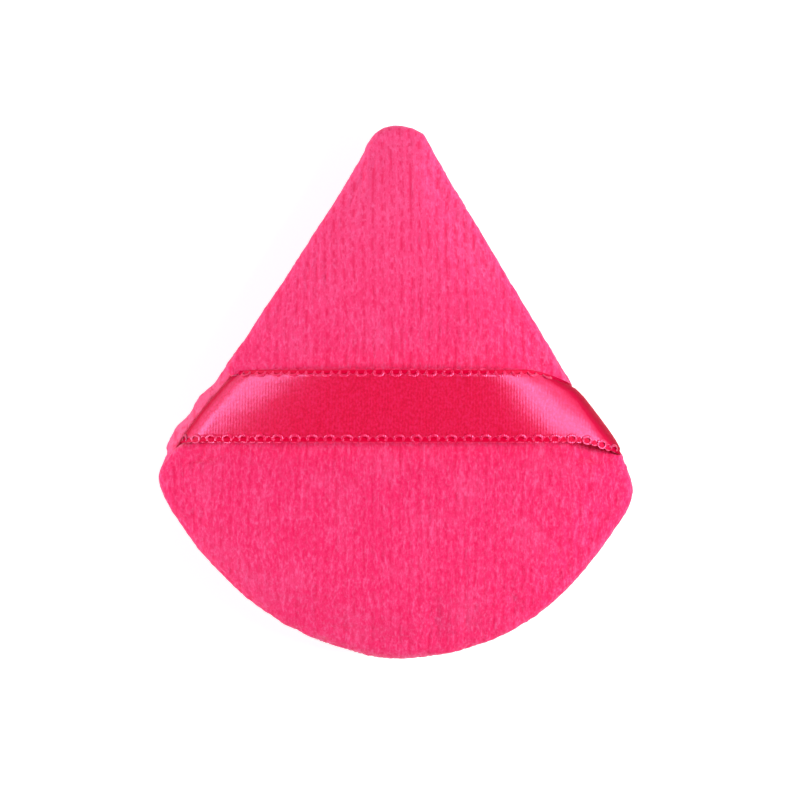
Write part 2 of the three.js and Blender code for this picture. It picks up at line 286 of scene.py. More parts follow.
class Nodes:
    """Short way to write a node material."""

    def __init__(self, name):
        self.material = bpy.data.materials.new(name)
        self.material.use_nodes = True
        self.tree = self.material.node_tree
        self.shader = self.tree.nodes["Principled BSDF"]

    def add(self, kind, **settings):
        node = self.tree.nodes.new(kind)
        for key, value in settings.items():
            setattr(node, key, value)
        return node

    def put(self, node, socket, value):
        target = node.inputs[socket]
        if isinstance(value, bpy.types.NodeSocket):
            self.tree.links.new(value, target)
        else:
            target.default_value = value

    def coords(self, scale, turn=(0, 0, 0)):
        """Object coordinates in units of 1/scale millimetres along each axis."""
        where = self.add("ShaderNodeTexCoord").outputs["Object"]
        mapping = self.add("ShaderNodeMapping")
        self.put(mapping, "Vector", where)
        self.put(mapping, "Scale", [s / MM for s in scale])
        self.put(mapping, "Rotation", turn)
        return mapping.outputs["Vector"]

    def noise(self, vector, detail=2.0, roughness=0.5):
        node = self.add("ShaderNodeTexNoise")
        self.put(node, "Vector", vector)
        self.put(node, "Scale", 1.0)
        self.put(node, "Detail", detail)
        self.put(node, "Roughness", roughness)
        return node.outputs["Fac"]

    def wave(self, vector, distortion, detail=2.0):
        node = self.add("ShaderNodeTexWave")
        self.put(node, "Vector", vector)
        self.put(node, "Scale", 1.0)
        self.put(node, "Distortion", distortion)
        self.put(node, "Detail", detail)
        return node.outputs["Fac"]

    def math(self, operation, a, b=0.0):
        node = self.add("ShaderNodeMath", operation=operation)
        self.put(node, 0, a)
        self.put(node, 1, b)
        return node.outputs[0]

    def range(self, value, low, high, to_low=0.0, to_high=1.0):
        node = self.add("ShaderNodeMapRange")
        self.put(node, "Value", value)
        for socket, number in zip(("From Min", "From Max", "To Min", "To Max"), (low, high, to_low, to_high)):
            self.put(node, socket, number)
        return node.outputs["Result"]

    def mix(self, factor, a, b):
        node = self.add("ShaderNodeMix", data_type="RGBA")
        self.put(node, "Factor", factor)
        self.put(node, 6, a)
        self.put(node, 7, b)
        return node.outputs[2]

    def attribute(self, name):
        return self.add("ShaderNodeAttribute", attribute_name=name).outputs["Fac"]

    def bump(self, height, distance, strength):
        node = self.add("ShaderNodeBump")
        self.put(node, "Height", height)
        self.put(node, "Distance", distance * MM)
        self.put(node, "Strength", strength)
        return node.outputs["Normal"]

    def finish(self, **values):
        for key, value in values.items():
            self.put(self.shader, key.replace("_", " "), value)
        return self.material


def colour(r, g, b):
    """An sRGB colour of 0 to 255 as linear values."""
    def linear(c):
        c /= 255
        return c / 12.92 if c <= 0.04045 else ((c + 0.055) / 1.055) ** 2.4
    return (linear(r), linear(g), linear(b), 1.0)


def velour_material(name, deep, body, light):
    """Short pile on a knit ground: painted shade in broken lines between the knit's columns, specks, soft
    sheen, and painted sheen towards the top and on the back panel's lip.
    """
    n = Nodes(name)
    where = n.add("ShaderNodeSeparateXYZ")
    n.put(where, 0, n.coords((1, 1, 1)))
    wale = n.attribute("wale")

    def knit(across, along, up):
        vector = n.add("ShaderNodeCombineXYZ")
        n.put(vector, 0, n.math("MULTIPLY", wale, across))
        n.put(vector, 1, n.math("MULTIPLY", where.outputs[1], along))
        n.put(vector, 2, n.math("MULTIPLY", where.outputs[2], up))
        return vector.outputs[0]

    def columns(pitch, broken, low, high):
        """Broken lines between columns of a pitch, where shade is painted and the relief dips."""
        wave = n.math("COSINE", n.math("MULTIPLY", wale, 2 * math.pi / pitch))
        return n.math("MULTIPLY", n.range(wave, -0.25, -0.95), n.range(broken, low, high))

    wide = columns(WALE, n.noise(knit(0.75, 0.9, 0.9), detail=2.0), 0.45, 0.57)
    narrow = columns(WALE / 2, n.noise(knit(1.5, 1.7, 1.2), detail=2.0), 0.5, 0.59)
    dash = n.math("MAXIMUM", wide, n.math("MULTIPLY", narrow, 0.8))
    streak = n.noise(knit(2.6, 0.7, 1.5), detail=3.0, roughness=0.6)
    speck = n.noise(knit(2.9, 1.7, 2.4), detail=2.0, roughness=0.6)
    fibre = n.noise(knit(5.0, 2.2, 4.0), detail=2.0, roughness=0.6)
    patch = n.noise(n.coords((0.16, 0.12, 0.16)), detail=3.0, roughness=0.6)
    tone = n.mix(n.range(streak, 0.36, 0.6), deep, body)
    tone = n.mix(n.range(streak, 0.54, 0.7, 0.0, 0.8), tone, light)
    # Painted sheen on the back panel's lip, whose pile is pulled and tilted towards the left lamp.
    tone = n.mix(n.math("MULTIPLY", n.attribute("stretched"), 0.6), tone, colour(255, 124, 164))
    tone = n.mix(n.range(speck, 0.53, 0.7, 0.0, 0.6), tone, light)
    tone = n.mix(n.range(speck, 0.44, 0.3, 0.0, 0.6), tone, deep)
    tone = n.mix(n.range(fibre, 0.54, 0.72, 0.0, 0.5), tone, light)
    tone = n.mix(n.range(fibre, 0.44, 0.28, 0.0, 0.4), tone, deep)
    tone = n.mix(n.range(patch, 0.5, 0.7, 0.0, 0.28), tone, light)
    tone = n.mix(n.range(patch, 0.48, 0.3, 0.0, 0.28), tone, deep)
    # Painted sheen: lighter towards the top of the puff.
    tone = n.mix(n.range(where.outputs[1], -5.0, 30.0, 0.0, 0.36), tone, light)
    # Painted shade in the grooves between the knit's columns, a little stronger towards the top.
    groove_shade = n.math("MULTIPLY", dash, n.range(where.outputs[1], -8.0, 8.0, 0.55, 0.64))
    tone = n.mix(groove_shade, tone, colour(238, 18, 84))
    height = n.math("ADD", n.math("MULTIPLY", fibre, 0.5), n.math("MULTIPLY", streak, 0.5))
    height = n.math("SUBTRACT", height, n.math("MULTIPLY", dash, 0.3))
    return n.finish(
        Base_Color=tone,
        Roughness=0.92,
        Specular_IOR_Level=0.15,
        Sheen_Weight=0.9,
        Sheen_Roughness=0.36,
        Sheen_Tint=(1.0, 0.56, 0.72, 1.0),
        Normal=n.bump(height, 0.1, 0.7),
    )


def satin_material():
    """Satin weave: smooth warp floats along the ribbon, crossed by fine lines; painted shade darkens the
    selvedge, the steep ends and where the ends turn down.
    """
    n = Nodes("satin_weave")
    weft = n.wave(n.coords((0.72, 0.03, 0.0)), distortion=1.5)
    slub = n.noise(n.coords((0.25, 2.2, 0.25)), detail=3.0, roughness=0.6)
    grain = n.noise(n.coords((3.2, 3.2, 3.2)), detail=2.0)
    edge = n.attribute("selvedge")
    shade = n.math("ADD", n.math("MULTIPLY", slub, 0.5), n.math("MULTIPLY", grain, 0.5))
    turned = n.attribute("turned")
    tone = n.mix(n.range(shade, 0.3, 0.7), colour(246, 0, 58), colour(255, 2, 70))
    tone = n.mix(n.range(weft, 0.2, 1.0, 0.0, 0.3), tone, colour(222, 0, 53))
    twill = n.noise(n.coords((3.0, 2.2, 2.2)), detail=2.0, roughness=0.6)
    tone = n.mix(n.range(twill, 0.5, 0.66, 0.0, 0.9), tone, colour(255, 22, 90))
    tone = n.mix(n.range(twill, 0.5, 0.34, 0.0, 0.8), tone, colour(228, 0, 52))
    # Painted shade: the selvedge is darker, standing in for the shaded holes between the loops.
    tone = n.mix(edge, tone, colour(230, 0, 58))
    # Painted shade where the satin slopes steeply towards its ends.
    tone = n.mix(n.math("MULTIPLY", n.attribute("steep"), 0.75), tone, colour(222, 14, 86))
    # Painted shade where the ends turn down into the seams, darkest where they face sideways or down.
    tone = n.mix(n.range(turned, 0.0, 0.4, 0.0, 0.8), tone, colour(200, 3, 56))
    tone = n.mix(n.range(turned, 0.4, 1.0, 0.0, 0.9), tone, colour(168, 0, 42))
    height = n.math("ADD", n.math("MULTIPLY", weft, 0.5), n.math("MULTIPLY", twill, 1.2))
    height = n.math("ADD", height, n.math("MULTIPLY", slub, 0.3))
    smooth = n.range(grain, 0.3, 0.7, 0.46, 0.54)
    rough = n.math("ADD", smooth, n.range(turned, 0.0, 0.4, 0.0, 0.3))
    gloss = n.math("MULTIPLY", n.range(turned, 0.0, 0.4, 0.88, 0.04), n.range(edge, 0.0, 1.0, 1.0, 0.12))
    gloss = n.math("MULTIPLY", gloss, n.range(twill, 0.34, 0.66, 0.84, 1.12))
    floats = n.add("ShaderNodeTangent", direction_type="UV_MAP", uv_map="weave").outputs[0]
    return n.finish(
        Base_Color=tone,
        Roughness=rough,
        IOR=1.95,
        Specular_IOR_Level=gloss,
        Specular_Tint=(1.0, 0.45, 1.0, 1.0),
        Anisotropic=1.0,
        Tangent=floats,
        Normal=n.bump(height, 0.02, 0.7),
    )


def yarn_material(name, dark, light, gloss, rough=0.5):
    """Spun or filament yarn: fine plies running across its length, with painted shade where it goes down the
    side.
    """
    n = Nodes(name)
    ply = n.wave(n.coords((1.6, 1.6, 1.6), (0.4, 0.5, 0.3)), distortion=2.0)
    fuzz = n.noise(n.coords((6.0, 6.0, 6.0)), detail=2.0)
    strand = n.math("ADD", n.math("MULTIPLY", ply, 0.6), n.math("MULTIPLY", fuzz, 0.4))
    tone = n.mix(n.range(strand, 0.25, 0.75), dark, light)
    # Painted shade where the loops go down the side with the ribbon's ends.
    tone = n.mix(n.math("MULTIPLY", n.attribute("turned"), 0.85), tone, colour(196, 2, 56))
    return n.finish(
        Base_Color=tone,
        Roughness=rough,
        IOR=1.8,
        Specular_IOR_Level=gloss,
        Specular_Tint=(1.0, 0.5, 1.0, 1.0),
        Normal=n.bump(n.math("ADD", ply, fuzz), 0.04, 0.6),
    )


def sponge_material():
    """Open-cell sponge: pale, with painted shade in its pores, and faint stains."""
    n = Nodes("sponge_cells")
    cells = n.add("ShaderNodeTexVoronoi", feature="DISTANCE_TO_EDGE")
    n.put(cells, "Vector", n.coords((1.6, 1.6, 1.6)))
    n.put(cells, "Scale", 1.0)
    wall = n.range(cells.outputs["Distance"], 0.03, 0.2)
    stain = n.noise(n.coords((0.15, 0.15, 0.15)), detail=3.0)
    # Painted shade: the pores between the cell walls are darker.
    tone = n.mix(wall, colour(250, 246, 238), colour(214, 204, 188))
    tone = n.mix(n.range(stain, 0.4, 0.7, 0.0, 0.4), tone, colour(240, 226, 204))
    pores = n.bump(n.math("SUBTRACT", 1.0, wall), 0.2, 0.8)
    return n.finish(Base_Color=tone, Roughness=0.95, Specular_IOR_Level=0.2, Normal=pores)


VELOUR_DEEP = colour(249, 33, 101)
VELOUR_BODY = colour(255, 56, 122)
VELOUR_LIGHT = colour(255, 97, 154)
velour_front = velour_material("velour_front", VELOUR_DEEP, VELOUR_BODY, VELOUR_LIGHT)
velour_back = velour_material("velour_back", VELOUR_DEEP, VELOUR_BODY, VELOUR_LIGHT)
satin = satin_material()
picot_yarn = yarn_material("picot_yarn", colour(246, 2, 72), colour(255, 12, 86), gloss=0.65, rough=0.32)
seam_yarn = yarn_material("seam_yarn", colour(214, 30, 86), colour(240, 70, 122), gloss=0.25)
sponge = sponge_material()


# Pad form: the crown that the two panels take over the sponge, from a cloth simulation
SIM_SCALE = 10.0  # the solver is tuned to cloth of about a metre
SIM_FRAMES = 20
SEAM_INSET = 0.25  # of the row of points between the two rolled edges
SEAM_HOLD = (1.6, 1.6)  # hold on the cloth at the seam, cut off at 1, and the height over which it falls by 1
FORM_VOXEL = 1.7
FORM_CAP = 1.0  # most that the simulation may move a point
FORM_NEAR = 6  # how many points of the form a point of a panel follows
FORM_BLEND = 0.3  # added to their distances, so that the nearest one doesn't rule


def pad_form():
    """Points of the plain pad and how far inflation moves each of them, in millimetres."""
    points, normals, _ = stations(120)
    rows = []
    shares = np.linspace(0, 1, 15)[1:-1]
    upper = math.radians(90 + CROWN_SLOPE)
    edge_inset = STITCH_INSET + ROLL_RADIUS * math.cos(upper)
    edge_z = FOLD_HEIGHT + ROLL_RADIUS * math.sin(upper)

    def row(inset, share, z):
        place = inward(points, normals, np.full(len(points), inset), share)
        rows.append(np.column_stack([place, np.full(len(points), z)]))

    for share in shares[::-1]:
        row(edge_inset, share, crown_height(edge_z, FRONT_CROWN, share))
    for angle in np.linspace(upper, math.pi, 5):
        row(STITCH_INSET + ROLL_RADIUS * math.cos(angle), 0, FOLD_HEIGHT + ROLL_RADIUS * math.sin(angle))
    row(SEAM_INSET, 0, 0)
    for angle in np.linspace(math.pi, upper, 5):
        row(STITCH_INSET + ROLL_RADIUS * math.cos(angle), 0, -FOLD_HEIGHT - ROLL_RADIUS * math.sin(angle))
    for share in shares:
        row(edge_inset, share, -crown_height(edge_z, BACK_CROWN + REST_FLAT, share))
    mesh = ring_mesh("pad_form", rows, (0, CROWN_Y, FRONT_CROWN), (0, CROWN_Y, -BACK_CROWN - REST_FLAT))
    mesh.transform(Matrix.Scale(SIM_SCALE, 4))
    form = bpy.data.objects.new("pad_form", mesh)
    bpy.context.scene.collection.objects.link(form)
    bpy.context.view_layer.objects.active = form
    form.select_set(True)
    remesh = form.modifiers.new("remesh", "REMESH")
    remesh.mode = "VOXEL"
    remesh.voxel_size = FORM_VOXEL * MM * SIM_SCALE
    bpy.ops.object.modifier_apply(modifier=remesh.name)
    mesh = form.data
    before = np.empty(len(mesh.vertices) * 3)
    mesh.vertices.foreach_get("co", before)
    before = before.reshape(-1, 3)
    held = form.vertex_groups.new(name="seam")
    level = np.abs(before[:, 2]) / (MM * SIM_SCALE)
    for i, z in enumerate(level):
        held.add([i], float(np.clip(SEAM_HOLD[0] - z / SEAM_HOLD[1], 0, 1)), "REPLACE")
    cloth = form.modifiers.new("cloth", "CLOTH")
    settings = cloth.settings
    settings.quality = 6
    settings.mass = 0.2
    settings.tension_stiffness = 12
    settings.compression_stiffness = 12
    settings.shear_stiffness = 4
    settings.bending_stiffness = 0.6
    settings.use_pressure = True
    settings.uniform_pressure_force = 4
    settings.vertex_group_mass = "seam"
    settings.effector_weights.gravity = 0
    cloth.collision_settings.use_collision = False
    scene = bpy.context.scene
    cloth.point_cache.frame_start = 1
    cloth.point_cache.frame_end = SIM_FRAMES
    for number in range(1, SIM_FRAMES + 1):
        scene.frame_set(number)
    shaped = form.evaluated_get(bpy.context.evaluated_depsgraph_get()).data
    after = np.empty(len(shaped.vertices) * 3)
    shaped.vertices.foreach_get("co", after)
    scene.frame_set(1)
    moved = (after.reshape(-1, 3) - before) / (MM * SIM_SCALE)
    before = before / (MM * SIM_SCALE)
    bpy.data.objects.remove(form, do_unlink=True)
    bpy.data.meshes.remove(mesh)
    size = np.linalg.norm(moved, axis=1, keepdims=True)
    moved *= np.minimum(1, FORM_CAP / np.maximum(size, 1e-9))
    return before, moved


form_points, form_moves = pad_form()
form_tree = kdtree.KDTree(len(form_points))
for i, p in enumerate(form_points):
    form_tree.insert(p, i)
form_tree.balance()


def follow_form(points):
    """Moves points of the plain pad as the inflated form has moved near them."""
    out = points.copy()
    for k, p in enumerate(points):
        weights = 0.0
        move = np.zeros(3)
        for _, i, distance in form_tree.find_n(p, FORM_NEAR):
            w = 1 / (distance + FORM_BLEND) ** 2
            weights += w
            move += w * form_moves[i]
        out[k] += move / weights
    return out


# Velour panels
LIP = 1.0  # how far the back panel swells up beside the ribbon's left end
LIP_Y = -3.2
LIP_REACH = 10.5
LIP_GAP = -0.2  # from the swelling to the ribbon, which it presses on
LIP_FLAT = 1.5  # the hump is this high before it is cut off at 1, which flattens its top
LIP_POWER = 5  # how close to the seam it is highest
LEAST_TURNED = 0.6  # least width of the turned edge beyond the stitches
STATIONS = 600
CROWN_ROWS = 112
ROLL_ROWS = 20
FOLD_ROWS = 5
INNER_ROWS = 9
PILE = 0.16  # relief of the pile, and how far its middle lies under the plain surface
PILE_SINK = 0.03
EDGE_PILE = 0.6  # share of the relief that is left on the rolled edge
EDGE_FADE = 6  # rows on each side of the edge's start over which it goes down to that


def panel_rows(front):
    """Rows of points over one panel, from the middle of its outside round its rolled edge to its inside."""
    points, normals, _ = stations(STATIONS)
    ones = np.ones(STATIONS)
    upper = math.radians(90 + CROWN_SLOPE)
    down = math.radians(270)
    at_stitch = inward(points, normals, STITCH_INSET * ones, 0)
    lift = slot_lift(at_stitch[:, 1]) if front else 0 * ones
    crown = FRONT_CROWN if front else BACK_CROWN + REST_FLAT
    reach = edge_reach(points, front)
    outer, inner = [], []

    beside = (points[:, 0] < 0) & (not front)
    swell = np.where(beside, np.clip(LIP_FLAT * bump(points[:, 1], LIP_Y, LIP_REACH), 0, 1), 0)
    widen = swell * ((by_height(CREASE_LEFT, points[:, 1]) + reach - LIP_GAP) / ROLL_RADIUS - 1)

    def edge(radius, angle):
        turn = max(angle / math.pi - 1, 0) * 2
        inset = STITCH_INSET - reach + radius * math.cos(angle)
        if turn > 0:
            inset = inset + radius * widen * (1 + math.cos(angle))
        z = FOLD_HEIGHT + lift + radius * math.sin(angle)
        z = z - LIP * swell * math.sin(math.pi * turn ** LIP_POWER) * radius / ROLL_RADIUS
        return np.column_stack([inward(points, normals, inset, 0), z])

    def dome(radius, top, share):
        start = edge(radius, upper)
        place = start[:, :2] + (CENTRE - start[:, :2]) * share
        return np.column_stack([place, crown_height(start[:, 2], top, share)])

    for share in np.linspace(1, 0, CROWN_ROWS + 1)[1:-1]:
        outer.append(dome(ROLL_RADIUS, crown, share))
    for angle in np.linspace(upper, down, ROLL_ROWS):
        outer.append(edge(ROLL_RADIUS, angle))
    for height in (-ROLL_RADIUS, -FOLD_RADIUS):
        place = inward(points, normals, np.maximum(RAW_EDGE, STITCH_INSET - reach + LEAST_TURNED), 0)
        inner.append(np.column_stack([place, FOLD_HEIGHT + lift + height]))
    for angle in np.linspace(down, upper, FOLD_ROWS):
        inner.append(edge(FOLD_RADIUS, angle))
    for share in np.linspace(0, 1, INNER_ROWS + 1)[1:-1]:
        inner.append(dome(FOLD_RADIUS, crown - CLOTH, share))
    return np.array(outer), np.array(inner), crown, swell


def wale_place(p):
    """A point's place across the knit's columns, which wander a little."""
    x, y, z = p
    sway = noise.noise(Vector((x * 0.12, y * 0.06, z * 0.1)))
    return x + 0.5 * sway + 0.15 * noise.noise(Vector((x * 0.6, y * 0.25, 5.0)))


def pile_height(p, wale):
    """Relief of the pile at a point, about -1 to 1: columns of the knit and tufts leaning along the nap."""
    _, y, z = p
    strength = 0.25 + 0.85 * noise.noise(Vector((wale * 0.7, y * 0.6, z * 0.5 + 11.0)))
    column = math.cos(2 * math.pi * wale / WALE) * strength
    tuft = noise.noise(Vector((wale * 1.7, y * 0.7, z * 1.3)))
    fine = noise.noise(Vector((wale * 3.2, y * 1.3 + 7.0, z * 2.4)))
    return 0.45 * column + 0.55 * tuft + 0.45 * fine


def velour_panel(name, front, material):
    """One closed skin of velour, with the pile's relief on its outside."""
    outer, inner, crown, swell = panel_rows(front)
    sign = 1 if front else -1
    outer[:, :, 2] *= sign
    inner[:, :, 2] *= sign
    outer = follow_form(outer.reshape(-1, 3)).reshape(outer.shape)
    outer[:, :, 2] += SEAM_Z
    inner[:, :, 2] += SEAM_Z
    top = follow_form(np.array([[0.0, CROWN_Y, sign * crown]]))[0] + (0, 0, SEAM_Z)
    below = np.array([0.0, CROWN_Y, SEAM_Z + sign * (crown - CLOTH)])
    if not front:
        below[2] = CLOTH
        inner[:, :, 2] = np.maximum(inner[:, :, 2], CLOTH)
    rows = np.concatenate([outer, inner])
    mesh = ring_mesh(name, rows, top, below)
    face_out(mesh)
    count = len(mesh.vertices)
    place = np.empty(count * 3)
    normal = np.empty(count * 3)
    mesh.vertices.foreach_get("co", place)
    mesh.vertices.foreach_get("normal", normal)
    place, normal = place.reshape(-1, 3) / MM, normal.reshape(-1, 3)
    wale = np.array([wale_place(p) for p in place])
    relief = np.array([pile_height(p, w) for p, w in zip(place, wale)])
    shown = np.zeros(count)
    outer_count = outer.shape[0] * outer.shape[1]
    by_row = np.interp(np.arange(len(outer)), [CROWN_ROWS - EDGE_FADE, CROWN_ROWS + EDGE_FADE], [1, EDGE_PILE])
    shown[:outer_count] = np.repeat(by_row, STATIONS)
    shown[outer_count - 2 * STATIONS:outer_count] = 0
    shown[rows.shape[0] * rows.shape[1]] = 1
    place += normal * (shown * (PILE * relief - PILE_SINK))[:, None]
    if not front:
        place[:, 2] = np.maximum(place[:, 2], 0.0)
    mesh.vertices.foreach_set("co", (place * MM).ravel())
    # Where the back panel's lip swells, which takes painted sheen.
    stretched = np.append(np.tile(swell, len(rows)), [0, 0])
    stretched[:CROWN_ROWS * STATIONS] = 0
    set_values(mesh, wale=wale, stretched=stretched)
    mesh.update()
    return add_piece(name, mesh, material)


front_velour = velour_panel("front_velour", True, velour_front)
back_velour = velour_panel("back_velour", False, velour_back)


# Satin ribbon
RIBBON_BODY = 9.0  # satin between its two looped edges
RIBBON_LEVEL = 12.0  # level stretch in the middle
LEFT_BEND = 4.5  # radius at which each end turns down, and its slope in degrees where that turn starts
LEFT_SLOPE = 26.0
RIGHT_BEND = (6.0, 4.0)  # at the ribbon's lower and upper edge
RIGHT_SLOPE = (26.5, 52.0)
SEAM_SLIP = 0.5  # how much further an end slides inside the seam
SATIN_HALF = 0.15  # half the thickness
WAVINESS = (0.07, 0.015)  # slow and quick
SLOPE_STEPS, BEND_STEPS, HUG_STEPS, TUCK_STEPS, LEVEL_STEPS = 60, 17, 13, 5, 42  # points along each stretch
SATIN_LINES, SELVEDGE_LINES = 29, 5  # lines of points across
TOP_Z = FRONT_CROWN + FINGER_GAP + RIBBON_THICKNESS / 2


def ribbon_end(bend, slope, outermost, slip, slip_reach):
    """One end of the ribbon, as inset from the side line, height and how far it has slid down the side."""
    leave = math.radians(90 + slope)
    middle = outermost + bend
    leave_inset = middle + bend * math.cos(leave)
    leave_z = RIBBON_FOLD + bend * math.sin(leave)
    rise = TOP_Z - leave_z
    run = (side_x(RIBBON_Y) - RIBBON_LEVEL / 2) * SIDE_NORMAL[0] - leave_inset
    power = run * math.tan(math.radians(slope)) / rise
    places = []
    for t in np.linspace(1, 0, SLOPE_STEPS):
        places.append((leave_inset + run * t, leave_z + rise * (1 - (1 - t) ** power)))
    for a in np.linspace(leave, math.pi, BEND_STEPS)[1:]:
        places.append((middle + bend * math.cos(a), RIBBON_FOLD + bend * math.sin(a)))
    crease = len(places) - 1
    hug = outermost + RIBBON_HUG
    for a in np.linspace(math.pi, math.radians(270), HUG_STEPS)[1:]:
        places.append((hug + RIBBON_HUG * math.cos(a), RIBBON_FOLD + RIBBON_HUG * math.sin(a)))
    for t in np.linspace(0, 1, TUCK_STEPS)[1:]:
        places.append((hug + RIBBON_TUCK * t, RIBBON_FOLD - RIBBON_HUG))
    places = np.array(places)
    slid = slip * np.clip(1 - (places[:, 0] - outermost) / slip_reach, 0, 1) ** 2
    slid[crease:] = slip + SEAM_SLIP * np.linspace(0, 1, len(places) - crease)
    return np.column_stack([places, slid])


def ribbon_lines(heights):
    """Middle surface of the ribbon: one line of points for each height across it, from left to right."""
    def end(y, sign, crease, slip, bend, slope):
        outermost = by_height(crease, y + slip[0] * SIDE_ALONG[1])
        places = ribbon_end(bend, slope, outermost, *slip)
        x = side_x(y) - places[:, 0] / SIDE_NORMAL[0]
        spot = np.column_stack([x, np.full(len(places), y)]) + places[:, 2:3] * SIDE_ALONG
        return np.column_stack([sign * spot[:, 0], spot[:, 1], places[:, 1]])

    lines = []
    for y in heights:
        share = (y - RIBBON_Y) / RIBBON_WIDTH + 0.5
        bend, slope = (low + (high - low) * share for low, high in (RIGHT_BEND, RIGHT_SLOPE))
        left = end(y, -1, CREASE_LEFT, SLIP_LEFT, LEFT_BEND, LEFT_SLOPE)[::-1]
        right = end(y, 1, CREASE_RIGHT, SLIP_RIGHT, bend, slope)
        level = np.linspace(left[-1], right[0], LEVEL_STEPS)[1:-1]
        lines.append(np.concatenate([left, level, right]))
    return np.array(lines)


def surface_frame(lines):
    """Unit vectors along and across the ribbon and square to it, at each point of its middle surface."""
    along = np.gradient(lines, axis=1)
    across = np.gradient(lines, axis=0)
    along /= np.linalg.norm(along, axis=2, keepdims=True)
    up = np.cross(along, across)
    up /= np.linalg.norm(up, axis=2, keepdims=True)
    return along, np.cross(up, along), up


def ribbon_wobble(lines):
    """Slight waviness of slack satin, in millimetres above its middle surface."""
    out = np.zeros(lines.shape[:2])
    for i in range(lines.shape[0]):
        for j in range(lines.shape[1]):
            x, y, _ = lines[i, j]
            slow = noise.noise(Vector((x * 0.12, y * 0.2, 3.0)))
            quick = noise.noise(Vector((x * 0.5, y * 0.5, 9.0)))
            out[i, j] = WAVINESS[0] * slow + WAVINESS[1] * quick
    return out


SELVEDGE = 0.85  # woven strip outside the satin, which the loops lie on
SELVEDGE_STEP = 0.12  # width over which the satin thins to it
SELVEDGE_THIN = 0.07  # taken off half its thickness, so that its upper face lies lower
# Normal's height where the satin counts as turned down, which takes painted shade and less gloss, or as steep,
# which takes painted shade: where that starts, its span and its most.
TURNED_LEFT = (0.6, 0.42, 0.8)
TURNED_RIGHT = (0.75, 0.27, 1.0)
STEEP_LEFT = (0.72, 0.3, 1.0)
STEEP_RIGHT = (0.88, 0.3, 1.0)


def tilt_share(level, start, span, most):
    """How far a normal's height has fallen below a start, as a share of a span."""
    return np.clip((start - level) / span, 0, most)


def satin_ribbon():
    """The ribbon, its middle surface with the directions there, and its length."""
    half = RIBBON_BODY / 2
    strip = np.linspace(half, half + SELVEDGE, SELVEDGE_LINES)[1:]
    heights = np.concatenate([-strip[::-1], np.linspace(-half, half, SATIN_LINES), strip])
    outside = np.clip((np.abs(heights) - half) / SELVEDGE_STEP, 0, 1)
    lines = ribbon_lines(RIBBON_Y + heights)
    _, _, up = surface_frame(lines)
    lines = lines + up * ribbon_wobble(lines)[:, :, None] + (0, 0, SEAM_Z)
    _, across, up = surface_frame(lines)
    middle = lines - up * (SELVEDGE_THIN * outside)[:, None, None]
    half_thick = (SATIN_HALF - SELVEDGE_THIN * outside)[:, None, None]
    top = middle + up * half_thick
    under = middle - up * half_thick
    rings = np.concatenate([top, under[::-1]], axis=0).transpose(1, 0, 2)
    mesh = ring_mesh("satin_ribbon", rings, rings[0].mean(axis=0), rings[-1].mean(axis=0))
    level, at_left = up[:, :, 2], lines[:, :, 0] < 0

    def both_faces(values, at_ends):
        return np.append(np.concatenate([values, values[::-1]]).T.ravel(), [at_ends, at_ends])

    def tilted(left, right):
        return both_faces(np.where(at_left, tilt_share(level, *left), tilt_share(level, *right)), 1)

    # The selvedge, and the steep and turned-down parts, which all take painted shade.
    set_values(
        mesh,
        selvedge=both_faces(np.repeat(outside[:, None], len(rings), axis=1), 0),
        steep=tilted(STEEP_LEFT, STEEP_RIGHT),
        turned=tilted(TURNED_LEFT, TURNED_RIGHT),
    )
    face_out(mesh)
    across_share = np.linspace(0, 1, len(heights))
    across_share = np.tile(np.concatenate([across_share, across_share[::-1]]), len(rings))
    along_share = np.repeat(np.linspace(0, 1, len(rings)), 2 * len(heights))
    weave = np.column_stack([np.append(across_share, [0.5, 0.5]), np.append(along_share, [0, 1])])
    corners = np.empty(len(mesh.loops), dtype=np.int32)
    mesh.loops.foreach_get("vertex_index", corners)
    mesh.uv_layers.new(name="weave").data.foreach_set("uv", weave[corners].ravel())
    length = np.linalg.norm(np.diff(lines[len(lines) // 2], axis=0), axis=1).sum()
    body = slice(len(strip), -len(strip))
    return add_piece("satin_ribbon", mesh, satin), lines[body], across[body], up[body], length


ribbon, ribbon_middle, ribbon_across, ribbon_up, ribbon_length = satin_ribbon()


# Looped edges of the ribbon
PICOT_PITCH = 1.29
PICOT_OUT = 0.4  # middle of a loop, out from the satin
PICOT_LARGE = (0.68, 0.5)  # half width and half height of the loops, which come large and small by turns
PICOT_SMALL = (0.46, 0.44)
PICOT_YARN = (0.42, 0.1)  # width and thickness
PICOT_LARGE_LIFT = (0.08, 0.2)  # height of a loop's middle over the satin, and how far its outer half dives
PICOT_SMALL_LIFT = (-0.04, 0.12)
# Normal's height where a loop counts as turned down, which takes painted shade.
PICOT_TURNED = (0.8, 0.25, 1.0)  # as for the satin
PICOT_POINTS = 18  # round a loop
PICOT_DRIFT = 0.06  # unevenness of their places, and of their size as a share
PICOT_UNEVEN = 0.12
PICOT_START = 4.2  # length at each end of the ribbon that is inside the seam
PICOT_FULL = {1: (-23.4, 22.4), -1: (-32.6, 32.0)}  # where the upper and lower loops stand free of the sides
PICOT_FADE = 1.0  # how far beyond that they go on, and the share of their reach lost for each millimetre
PICOT_SHRINK = 0.5


OFF_AXIS = np.array([0.13, 0.21, 0.97])  # a direction that no thread takes


def tube(path, radius, sides=6):
    """Rings round an open path."""
    path = np.asarray(path)
    along = np.gradient(path, axis=0)
    along /= np.linalg.norm(along, axis=1, keepdims=True)
    side = np.cross(along, OFF_AXIS)
    side /= np.linalg.norm(side, axis=1, keepdims=True)
    other = np.cross(along, side)
    angle = np.linspace(0, 2 * np.pi, sides, endpoint=False)
    ring = np.cos(angle)[None, :, None] * side[:, None] + np.sin(angle)[None, :, None] * other[:, None]
    return path[:, None] + radius * ring


